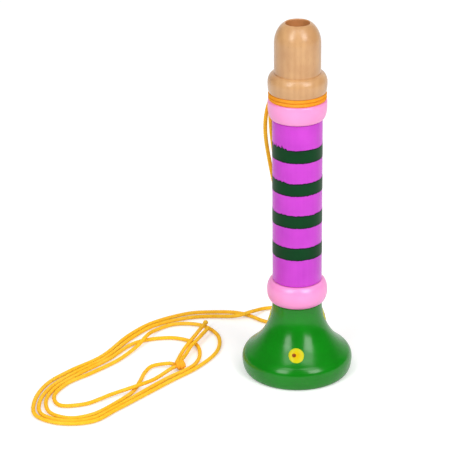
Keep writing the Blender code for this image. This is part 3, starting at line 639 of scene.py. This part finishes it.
# turned pieces: an outline of (radius, height) spun round the horn's axis
fits = {
    "socketWall": 3.0,      # tube wall outside a socket
    "spigotGap": 0.3,
    "spigotWall": 4.0,      # wood between a spigot's outside and the air bore
    "neckStep": 0.15,       # the rings and the bell's neck stand proud of the tube
    "edge": 0.3,            # worn edge where two pieces meet
}
lathe = {"steps": 160, "sharp": 32.0, "weld": 0.0001}
socketRadius = tubeRadius - fits["socketWall"]
spigotRadius = socketRadius - fits["spigotGap"]
boreRadius = spigotRadius - fits["spigotWall"]
neckRadius = tubeRadius + fits["neckStep"]


def arc(centre, reach, start, end, points):
    angles = np.radians(np.linspace(start, end, points))
    return [(centre[0] + reach[0] * math.cos(a), centre[1] + reach[1] * math.sin(a)) for a in angles]


def latheTree():
    tree, given = startTree("latheWork", {"Radius": "Float", "Steps": "Int", "Finish": "Material"})
    outline = addNode(tree, "GeometryNodeMeshToCurve", {"Mesh": given["Geometry"]})
    circle = addNode(tree, "GeometryNodeCurvePrimitiveCircle", {
        "Resolution": given["Steps"], "Radius": given["Radius"]})
    spun = addNode(tree, "GeometryNodeCurveToMesh", {"Curve": circle, "Profile Curve": outline})
    return endTree(tree, spun, given["Finish"])


latheWork = latheTree()


def tidyMesh(mesh):
    shape = bmesh.new()
    shape.from_mesh(mesh)
    bmesh.ops.remove_doubles(shape, verts=shape.verts, dist=lathe["weld"] * mm)
    bmesh.ops.recalc_face_normals(shape, faces=shape.faces)
    shape.to_mesh(mesh)
    shape.free()
    mesh.shade_smooth()
    mesh.set_sharp_from_angle(angle=math.radians(lathe["sharp"]))
    return mesh


def turned(name, outline, finish, node):
    # the outline is swept round a circle: its x points outwards and its y down
    chain = [((r - tubeRadius) * mm, -z * mm, 0) for r, z in outline]
    values = {"Radius": tubeRadius * mm, "Steps": lathe["steps"], "Finish": finish}
    mesh = runTree(latheWork, [chain], values, closed=True)
    return addPiece(name, tidyMesh(mesh), "horn", [node])


mouth = {
    "domeInset": 1.0,       # the dome is slimmer than the tube
    "domeRound": (8.1, 11.4),
    "domeHeight": 25.7,
    "hole": 12.0,
    "rimRound": 0.6,
    "rimEnd": 100.0,        # angle at which the rim's rounding meets the dome
    "beadWidest": 9.0,      # above the collar
    "beadUnder": (3.0, 28.0),       # below its widest line it draws in along part of an ellipse
    "beadEdge": 0.9,
    "tenonWall": 2.2,
    "seatDepth": 9.0,
}


def makeMouthpiece():
    low, high = span("mouthpiece")
    hole, dome, bead = mouth["hole"] / 2, tubeRadius - mouth["domeInset"], high.x
    beadTop, beadLow = high.z - mouth["domeHeight"], collarTop + grooveHeight
    widest, edge = collarTop + mouth["beadWidest"], mouth["beadEdge"]
    rim, rounded = hole + mouth["rimRound"], mouth["domeRound"]
    under, underAngle = mouth["beadUnder"]
    underReach = (widest - beadLow - edge) / math.sin(math.radians(underAngle))
    curve = dome - rounded[0]
    rimAngle = math.degrees(math.acos((rim - curve) / rounded[0]))
    curveHeight = high.z - rounded[1] * math.sin(math.radians(rimAngle))
    neckLow, seatTop = collarTop + fits["spigotGap"], low.z + mouth["seatDepth"]
    seat = spigotRadius - mouth["tenonWall"]
    outline = arc((rim, high.z - mouth["rimRound"]), (mouth["rimRound"],) * 2, 180, mouth["rimEnd"], 8)
    outline += arc((curve, curveHeight), rounded, rimAngle, 0, 30)
    outline += arc((dome, widest), (bead - dome, beadTop - widest), 90, 0, 22)
    outline += arc((bead - under, widest), (under, underReach), 0, -underAngle, 12)[1:]
    outline += arc((outline[-1][0] - edge, beadLow + edge), (edge, edge), 0, -90, 12)[1:]
    outline += [(tubeRadius, beadLow), (tubeRadius, neckLow), (spigotRadius, neckLow)]
    outline += [(spigotRadius, low.z), (seat, low.z), (seat, seatTop), (hole, seatTop)]
    turned("mouthPiece", outline, waxedBeech(), "mouthpiece")


upperRing = {"taper": 6.6, "edge": 1.2}


def makeUpperCollar():
    low, high = span("upper_collar")
    edge, bulge = upperRing["edge"], high.x - neckRadius
    outline = [(socketRadius, high.z)]
    outline += arc((high.x - edge, high.z - edge), (edge, edge), 90, 0, 12)
    outline += arc((high.x - bulge, low.z + upperRing["taper"]), (bulge, upperRing["taper"]), 0, -90, 26)
    outline += [(socketRadius, low.z)]
    turned("upperCollar", outline, paint["pink"], "upper_collar")


def makeTube():
    low, high = span("body_tube")
    shoulder = span("lower_ring")[1].z + fits["spigotGap"]
    socketLow = span("mouthpiece")[0].z - fits["spigotGap"]
    edge = fits["edge"]
    outline = [(socketRadius, high.z)] + arc((tubeRadius - edge, high.z - edge), (edge, edge), 90, 0, 6)
    outline += arc((tubeRadius - edge, shoulder + edge), (edge, edge), 0, -90, 6)
    outline += [(spigotRadius, shoulder), (spigotRadius, low.z), (boreRadius, low.z)]
    outline += [(boreRadius, socketLow), (socketRadius, socketLow)]
    turned("bodyTube", outline, paint["purple"], "body_tube")


def makeLowerRing():
    low, high = span("lower_ring")
    middle, half = (low.z + high.z) / 2, (high.z - low.z) / 2
    outline = [(socketRadius, high.z)]
    outline += arc((neckRadius, middle), (high.x - neckRadius, half), 90, -90, 44)
    outline += [(socketRadius, low.z)]
    turned("lowerRing", outline, paint["pink"], "lower_ring")


bellShape = {
    "widest": 7.3,          # height of the widest line
    "flare": 32.2,          # radius of the hollow curve under the neck
    "shoulder": 6.8,        # radius of the swelling above the rim
    "footRound": 2.8,
    "footWidth": 3.0,
    "topEdge": 0.45,
    "socketDepth": 11.0,
    "socketWeb": 3.7,
}


def makeBell():
    low, high = span("bell")
    b = bellShape
    edge, foot = b["topEdge"], high.x - b["footRound"]
    first = math.degrees(math.asin((flareMiddle[1] - high.z + edge) / b["flare"]))
    outline = [(socketRadius, high.z), (neckRadius - edge, high.z)]
    outline += arc(flareMiddle, (b["flare"],) * 2, 180 + first, 180 + flareEnd, 40)
    outline += arc((high.x - b["shoulder"], b["widest"]), (b["shoulder"],) * 2, flareEnd, 0, 26)[1:]
    outline += arc((foot, b["widest"]), (b["footRound"], b["widest"]), 0, -90, 24)[1:]
    socketLow = high.z - b["socketDepth"]
    bowlTop = socketLow - b["socketWeb"]
    outline += arc((boreRadius, 0), (foot - b["footWidth"] - boreRadius, bowlTop), 0, 90, 32)
    outline += [(boreRadius, socketLow), (socketRadius, socketLow)]
    turned("bellFoot", outline, paint["green"], "bell")


# the hollow flare and the swelling shoulder of the bell touch without a corner
bellRadius = span("bell")[1].x
flareAcross = neckRadius + bellShape["flare"] - bellRadius + bellShape["shoulder"]
flareSpan = bellShape["flare"] + bellShape["shoulder"]
flareEnd = math.degrees(math.acos(flareAcross / flareSpan))
flareMiddle = (neckRadius + bellShape["flare"],
               bellShape["widest"] + flareSpan * math.sin(math.radians(flareEnd)))

makeMouthpiece()
makeUpperCollar()
makeTube()
makeLowerRing()
makeBell()
print("horn turned")


# painted bands: brushed on by hand, so their edges wander, break up a little and overlap where they end
bands = {
    "count": 4,
    "top": 127.1,
    "step": 17.7,
    "width": 7.0,
    "film": 0.05,
    "sink": 0.15,
    "wander": 0.4,
    "wanderSize": 9.0,
    "ragged": 0.35,
    "raggedSize": 1.0,
    "lapAngle": -150.0,     # where each stroke runs over its own start
    "lapWidth": 74.0,
    "lapFade": 7.0,
    "lapLift": 0.95,        # on the top band
    "lapShare": 0.5,        # and on each next one this share of the one above
    "lapRagged": 2.8,
    "steps": 420,
}


def bandTree(sizes):
    tree, given = startTree("brushedBands", {
        **dict.fromkeys(sizes, "Float"), "count": "Int", "steps": "Int", "lapWay": "Vector",
        "finish": "Material"})
    circle = addNode(tree, "GeometryNodeCurvePrimitiveCircle", {
        "Resolution": given["steps"], "Radius": given["radius"]})
    section = addNode(tree, "GeometryNodeCurvePrimitiveQuadrilateral", {
        "Width": given["thickness"], "Height": given["width"]})
    band = addNode(tree, "GeometryNodeCurveToMesh", {"Curve": circle, "Profile Curve": section})
    position = addNode(tree, "GeometryNodeInputPosition")
    height = addNode(tree, "ShaderNodeSeparateXYZ", {"Vector": position}, output="Z")
    half = addNode(tree, "ShaderNodeMath", {0: given["width"], 1: 0.5}, operation="MULTIPLY")
    towards = addNode(tree, "ShaderNodeMath", {0: height, 1: half}, operation="DIVIDE")
    band = addNode(tree, "GeometryNodeStoreNamedAttribute", {
        "Geometry": band, "Name": "towardsEdge", "Value": towards})

    # one band under another, each with less of a lap than the one above
    drop = addNode(tree, "ShaderNodeMath", {0: given["step"], 1: -1.0}, operation="MULTIPLY")
    start = addNode(tree, "ShaderNodeCombineXYZ", {"Z": given["middle"]})
    stride = addNode(tree, "ShaderNodeCombineXYZ", {"Z": drop})
    places = addNode(tree, "GeometryNodeMeshLine", {
        "Count": given["count"], "Start Location": start, "Offset": stride})
    number = addNode(tree, "GeometryNodeInputIndex")
    lessening = addNode(tree, "ShaderNodeMath", {0: bands["lapShare"], 1: number}, operation="POWER")
    places = addNode(tree, "GeometryNodeStoreNamedAttribute", {
        "Geometry": places, "Name": "lapShare", "Value": lessening})
    copies = addNode(tree, "GeometryNodeInstanceOnPoints", {"Points": places, "Instance": band})
    film = addNode(tree, "GeometryNodeRealizeInstances", {"Geometry": copies})

    wires = {label: given[label] for label in ("wander", "ragged", "lapLift", "lapRagged")}
    for name in ("towardsEdge", "lapShare"):
        wires[name] = addNode(tree, "GeometryNodeInputNamedAttribute", {"Name": name})
    reach = addNode(
        tree, "ShaderNodeVectorMath", {0: position, 1: given["lapWay"]}, operation="DOT_PRODUCT")
    wires["lap"] = addNode(tree, "ShaderNodeMapRange", {
        "Value": reach, "From Min": given["lapStart"], "From Max": given["lapEnd"]},
        interpolation_type="SMOOTHSTEP")
    for name, size, detail in (("wanderNoise", "wanderSize", 1.0), ("raggedNoise", "raggedSize", 3.0)):
        scale = addNode(tree, "ShaderNodeMath", {0: 1.0, 1: given[size]}, operation="DIVIDE")
        wires[name] = addNode(tree, "ShaderNodeTexNoise", {
            "Vector": position, "Scale": scale, "Detail": detail})
    recipe = (
        ("wanderSide", "SUBTRACT", "wanderNoise", 0.5),
        ("wanderShare", "MULTIPLY", "wanderSide", 2),
        ("wandering", "MULTIPLY", "wanderShare", "wander"),
        ("raggedSide", "SUBTRACT", "raggedNoise", 0.5),
        ("raggedShare", "MULTIPLY", "raggedSide", 2),
        ("upper", "GREATER_THAN", "towardsEdge", 0),
        ("lapUpper", "MULTIPLY", "upper", "lap"),
        ("lapHere", "MULTIPLY", "lapUpper", "lapShare"),
        ("lift", "MULTIPLY", "lapHere", "lapLift"),
        ("more", "MULTIPLY", "lapHere", "lapRagged"),
        ("allRagged", "ADD", "ragged", "more"),
        ("breaking", "MULTIPLY", "raggedShare", "allRagged"),
        ("wanderLift", "ADD", "wandering", "lift"),
        ("shift", "ADD", "wanderLift", "breaking"),
    )
    for name, operation, *terms in recipe:
        inputs = {i: wires.get(term, term) for i, term in enumerate(terms)}
        wires[name] = addNode(tree, "ShaderNodeMath", inputs, operation=operation)
    offset = addNode(tree, "ShaderNodeCombineXYZ", {"Z": wires["shift"]})
    film = addNode(tree, "GeometryNodeSetPosition", {"Geometry": film, "Offset": offset})
    return endTree(tree, film, given["finish"])


def makeBands():
    b = bands
    way, reach = math.radians(b["lapAngle"]), b["lapWidth"] / 2
    plain = ("width", "step", "wander", "wanderSize", "ragged", "raggedSize", "lapLift")
    sizes = {key: b[key] for key in plain}
    sizes.update({
        "radius": tubeRadius + (b["film"] - b["sink"]) / 2,
        "thickness": b["film"] + b["sink"],
        "middle": b["top"] - b["width"] / 2,
        "lapRagged": b["lapRagged"] - b["ragged"],
        "lapStart": tubeRadius * math.cos(math.radians(reach)),
        "lapEnd": tubeRadius * math.cos(math.radians(reach - b["lapFade"])),
    })
    values = {key: size * mm for key, size in sizes.items()}
    values.update({"count": b["count"], "steps": b["steps"], "finish": paint["band"]})
    values["lapWay"] = (math.cos(way), math.sin(way), 0.0)
    mesh = runTree(bandTree(sizes), [[(0, 0, 0)]], values)
    addPiece("paintedBands", tidyMesh(mesh), "horn")


makeBands()
print("bands painted")


# dots on the bell: thick drops of yellow enamel with a small brown one in the middle
dots = {
    "radius": 4.0,
    "height": 0.45,
    "edgePower": 3.5,       # a drop is flat in the middle and steep at its edge
    "edgeRound": 0.6,
    "foot": 0.98,           # its underside is this much smaller
    "lobes": [(2, 0.015, 3.0), (5, 0.012, 0.0)],    # number round the edge, share of the radius, turn
    "sink": 0.2,
    "rings": 10,
    "sides": 56,
    "places": [(269, 17.2), (12, 30.0), (168, 30.0), (90, 17.2)],   # angle seen from above, height
    "eyeRadius": 1.05,
    "eyeShift": (-1.1, 0.1),
    "eyeHeight": 0.12,
}


def onFlare(angle, height, aside, along):
    # a point on the bell's flare, given distances sideways and up the slope, and its outward normal
    flare = bellShape["flare"]
    slope = math.asin((flareMiddle[1] - height) / flare) - along / flare
    radius = flareMiddle[0] - flare * math.cos(slope)
    turn = math.radians(angle) + aside / radius
    level = math.cos(slope)
    outward = np.array((math.cos(turn) * level, math.sin(turn) * level, math.sin(slope)))
    z = flareMiddle[1] - flare * math.sin(slope)
    return np.array((radius * math.cos(turn), radius * math.sin(turn), z)), outward


def enamelDrop(angle, height, middle, radius, base, thickness):
    # rings from the middle out, then back underneath, as one closed drop
    steps = [i / dots["rings"] for i in range(1, dots["rings"] + 1)]
    levels = [(t, base + thickness * (1 - t ** dots["edgePower"]) ** dots["edgeRound"]) for t in steps]
    levels.append((dots["foot"], base - dots["sink"]))
    verts, reaches, faces = [], [], []
    for t, level in [(0, base + thickness)] + levels + [(0, base - dots["sink"])]:
        count = dots["sides"] if t else 1
        for i in range(count):
            a = 2 * math.pi * i / dots["sides"]
            wobble = 1 + sum(share * math.sin(lobes * a + turn) for lobes, share, turn in dots["lobes"])
            reach = radius * t * wobble
            aside, along = middle[0] + reach * math.cos(a), middle[1] + reach * math.sin(a)
            point, outward = onFlare(angle, height, aside, along)
            verts.append((point + outward * level) * mm)
            reaches.append(t)
    sides, last = dots["sides"], len(verts) - 1
    for i in range(sides):
        j = (i + 1) % sides
        faces.append((0, 1 + i, 1 + j))
        for k in range(len(levels) - 1):
            first = 1 + k * sides
            faces.append((first + i, first + sides + i, first + sides + j, first + j))
        faces.append((last, last - sides + j, last - sides + i))
    return verts, reaches, faces


def makeDots():
    for name, radius, base, thickness, shift, finish in (
            ("yellowDots", dots["radius"], 0.0, dots["height"], (0, 0), paint["yellow"]),
            ("brownDotEyes", dots["eyeRadius"], dots["height"], dots["eyeHeight"], dots["eyeShift"],
             paint["brown"])):
        verts, reaches, faces = [], [], []
        for angle, height in dots["places"]:
            moreVerts, moreReaches, moreFaces = enamelDrop(angle, height, shift, radius, base, thickness)
            faces += [tuple(v + len(verts) for v in face) for face in moreFaces]
            verts += moreVerts
            reaches += moreReaches
        mesh = bpy.data.meshes.new(name)
        mesh.from_pydata(verts, [], faces)
        mesh.attributes.new("towardsEdge", "FLOAT", "POINT").data.foreach_set("value", reaches)
        mesh.materials.append(finish)
        addPiece(name, tidyMesh(mesh), "horn")


makeDots()
print("dots dabbed on")


# studio: white floor and backdrop, a dim room in front, big soft boxes left and right, and a weaker one
# above each
studio = {
    "floor": 4000.0,
    "floorDrop": 0.2,       # just under the part
    "floorColour": "#F0F0F0",
    "floorLift": 0.3,       # what the camera sees on top of the light that falls there
    "floorGleam": 0.1,      # and what a gloss shows of it
    "world": (0.1, 0.7),    # at the horizon and overhead
    "room": 0.15,           # what a gloss shows of the room in front
    "roomEdge": (0.4, 1.0),
    "aim": (0.0, 0.0, 60.0),
    "boxDistance": 2600.0,
    "boxTall": 1200.0,
    "boxes": {              # azimuth, height above the horizon, width and radiance
        "leftBox": (-33.0, 32.0, 860.0, 5.6),
        "rightBox": (40.0, 32.0, 1040.0, 6.1),
        "leftTop": (-33.0, 58.0, 860.0, 2.8),
        "rightTop": (40.0, 58.0, 1040.0, 2.8),
    },
}


def sharpRays(tree):
    # what the camera sees itself, and what a gloss or a clear material shows
    path = addNode(tree, "ShaderNodeLightPath").node.outputs
    mirrored = addNode(tree, "ShaderNodeMath", {
        0: path["Is Glossy Ray"], 1: path["Is Transmission Ray"]}, operation="MAXIMUM")
    return path["Is Camera Ray"], mirrored


def addFloor():
    half = studio["floor"] / 2 * mm
    mesh = bpy.data.meshes.new("floor")
    corners = [(-half, -half, 0), (half, -half, 0), (half, half, 0), (-half, half, 0)]
    mesh.from_pydata(corners, [], [(0, 1, 2, 3)])
    floor = bpy.data.objects.new("floor", mesh)
    floor.location.z = -studio["floorDrop"] * mm
    scene.collection.objects.link(floor)
    material, tree, shader, _ = startMaterial("studioFloor")
    seen, mirrored = sharpRays(tree)
    gleam = addNode(tree, "ShaderNodeMath", {0: mirrored, 1: studio["floorGleam"]}, operation="MULTIPLY")
    lift = addNode(
        tree, "ShaderNodeMath", {0: seen, 1: studio["floorLift"], 2: gleam}, operation="MULTIPLY_ADD")
    fill(tree, shader, {
        "Base Color": linear(studio["floorColour"]), "Roughness": 0.9, "Specular IOR Level": 0.0,
        "Emission Color": (1, 1, 1, 1), "Emission Strength": lift})
    mesh.materials.append(material)


def addWorld():
    world = bpy.data.worlds.new("studioWorld")
    scene.world = world
    world.use_nodes = True
    tree = world.node_tree
    seen, mirrored = sharpRays(tree)
    heading = addNode(tree, "ShaderNodeTexCoord", output="Generated")
    back = addNode(tree, "ShaderNodeSeparateXYZ", {"Vector": heading}, output="Y")
    up = back.node.outputs["Z"]
    near, far = studio["roomEdge"]
    backdrop = addNode(tree, "ShaderNodeMapRange", {
        "Value": back, "From Min": near, "From Max": far, "To Min": studio["room"]})
    horizon, overhead = studio["world"]
    strength = addNode(tree, "ShaderNodeMapRange", {"Value": up, "To Min": horizon, "To Max": overhead})
    for rays, level in ((mirrored, backdrop), (seen, 1.0)):
        strength = addNode(tree, "ShaderNodeMix", {"Factor": rays, "A": strength, "B": level})
    fill(tree, tree.nodes["Background"], {"Color": (1, 1, 1, 1), "Strength": strength})


def addBoxes():
    aim = Vector(studio["aim"]) * mm
    for name, (azimuth, height, width, radiance) in studio["boxes"].items():
        azimuth, height = math.radians(azimuth), math.radians(height)
        level = math.cos(height)
        away = Vector((math.sin(azimuth) * level, -math.cos(azimuth) * level, math.sin(height)))
        light = bpy.data.lights.new(name, "AREA")
        light.shape = "RECTANGLE"
        light.size, light.size_y = width * mm, studio["boxTall"] * mm
        light.energy = radiance * math.pi * light.size * light.size_y
        lamp = bpy.data.objects.new(name, light)
        lamp.location = aim + away * studio["boxDistance"] * mm
        lamp.rotation_euler = (-away).to_track_quat("-Z", "Y").to_euler()
        lamp.visible_camera = False
        scene.collection.objects.link(lamp)


addFloor()
addWorld()
addBoxes()
scene.view_settings.view_transform = "Standard"
print("studio lit")
